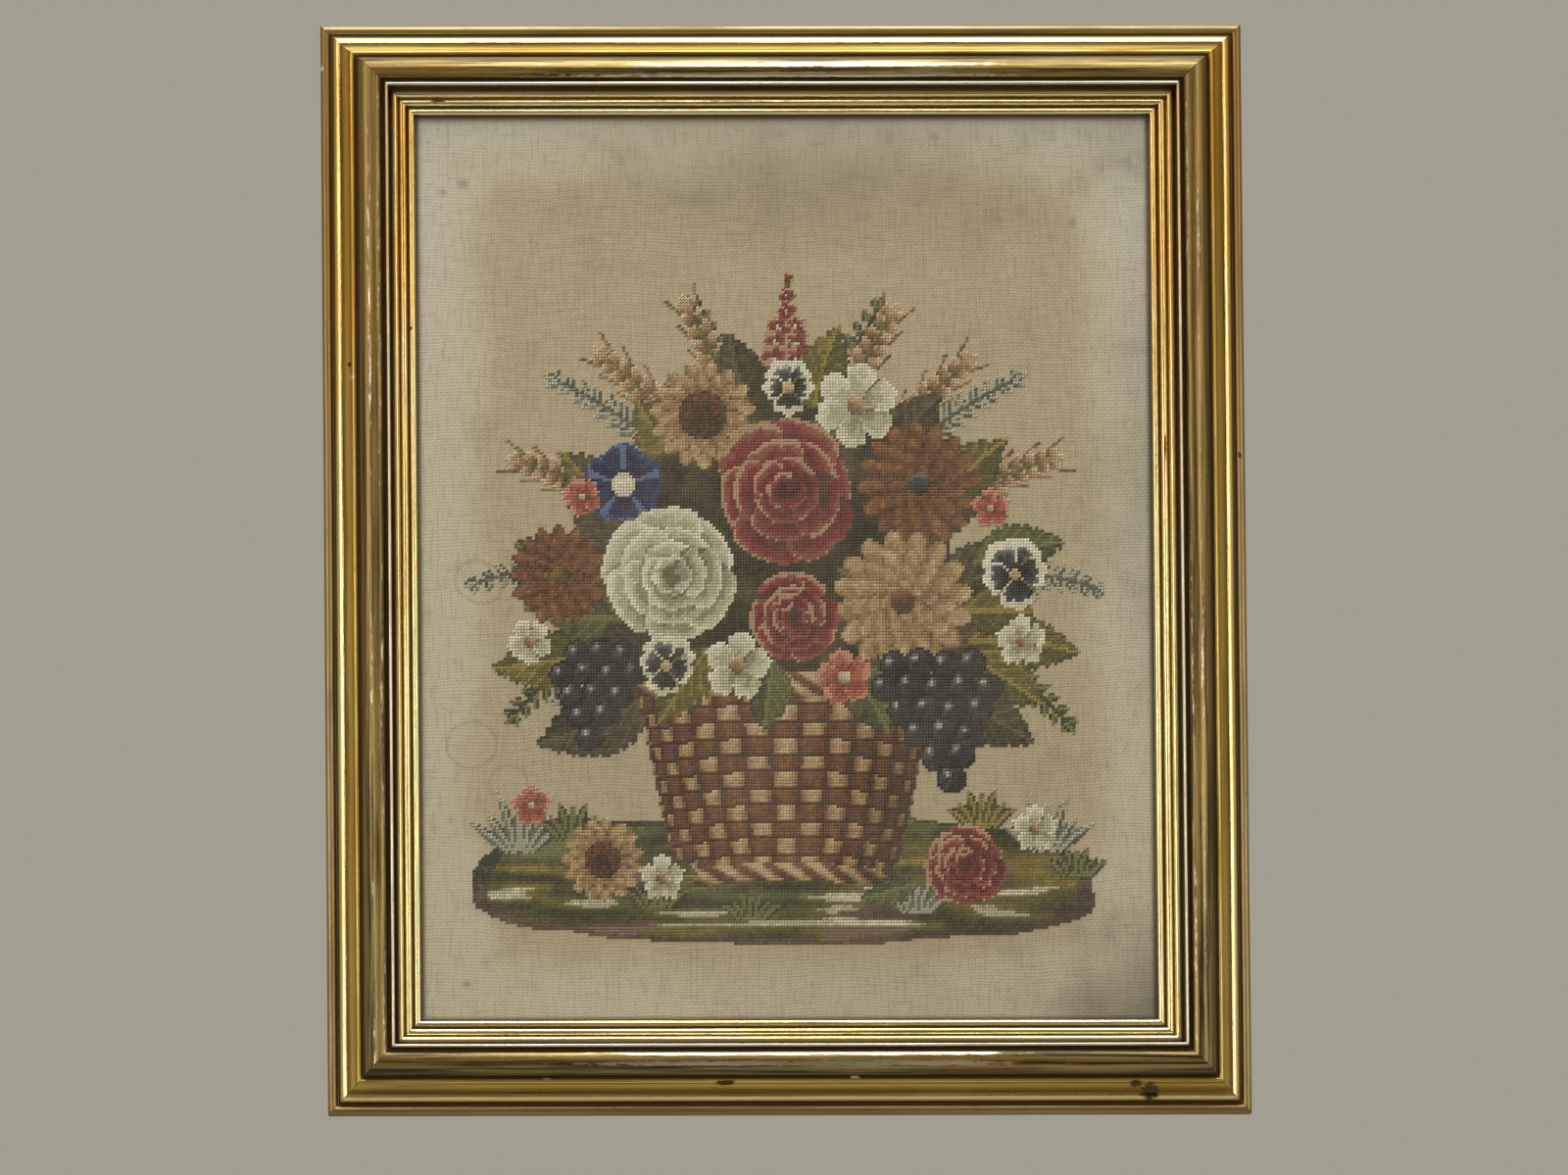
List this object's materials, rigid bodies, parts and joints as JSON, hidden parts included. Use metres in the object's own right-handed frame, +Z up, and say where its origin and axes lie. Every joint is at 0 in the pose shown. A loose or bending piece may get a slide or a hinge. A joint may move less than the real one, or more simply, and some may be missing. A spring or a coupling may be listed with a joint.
{
  "type": "framed needlework tapestry",
  "caption": "Wool needlework picture on canvas, stretched flat on a board in a gilt moulded wooden frame with an inner gilt slip, to hang on a wall.",
  "frame": {"origin": "the middle of the top rail's back face, where the picture hangs on the wall", "axes": "+Z up, +X to the viewer's right, +Y into the wall; the front faces -Y"},
  "size_m": [0.57, 0.0285, 0.684],
  "materials": {
    "aged_gilt": "worn gold and silver leaf on gesso, rubbed on its high members and dark in its hollows",
    "bright_gilt": "burnished gold leaf, satin to gloss",
    "canvas_cloth": "matt even-weave canvas, slightly toned with age",
    "wool": "matt wool stitches in many colours",
    "board": "plain unpainted board, matt"
  },
  "bodies": {
    "root": {"moulding_top": "aged_gilt", "moulding_bottom": "aged_gilt", "moulding_left": "aged_gilt", "moulding_right": "aged_gilt", "slip_top": "bright_gilt", "slip_bottom": "bright_gilt", "slip_left": "bright_gilt", "slip_right": "bright_gilt", "canvas": "canvas_cloth", "backboard": "board"}
  },
  "joints": []
}
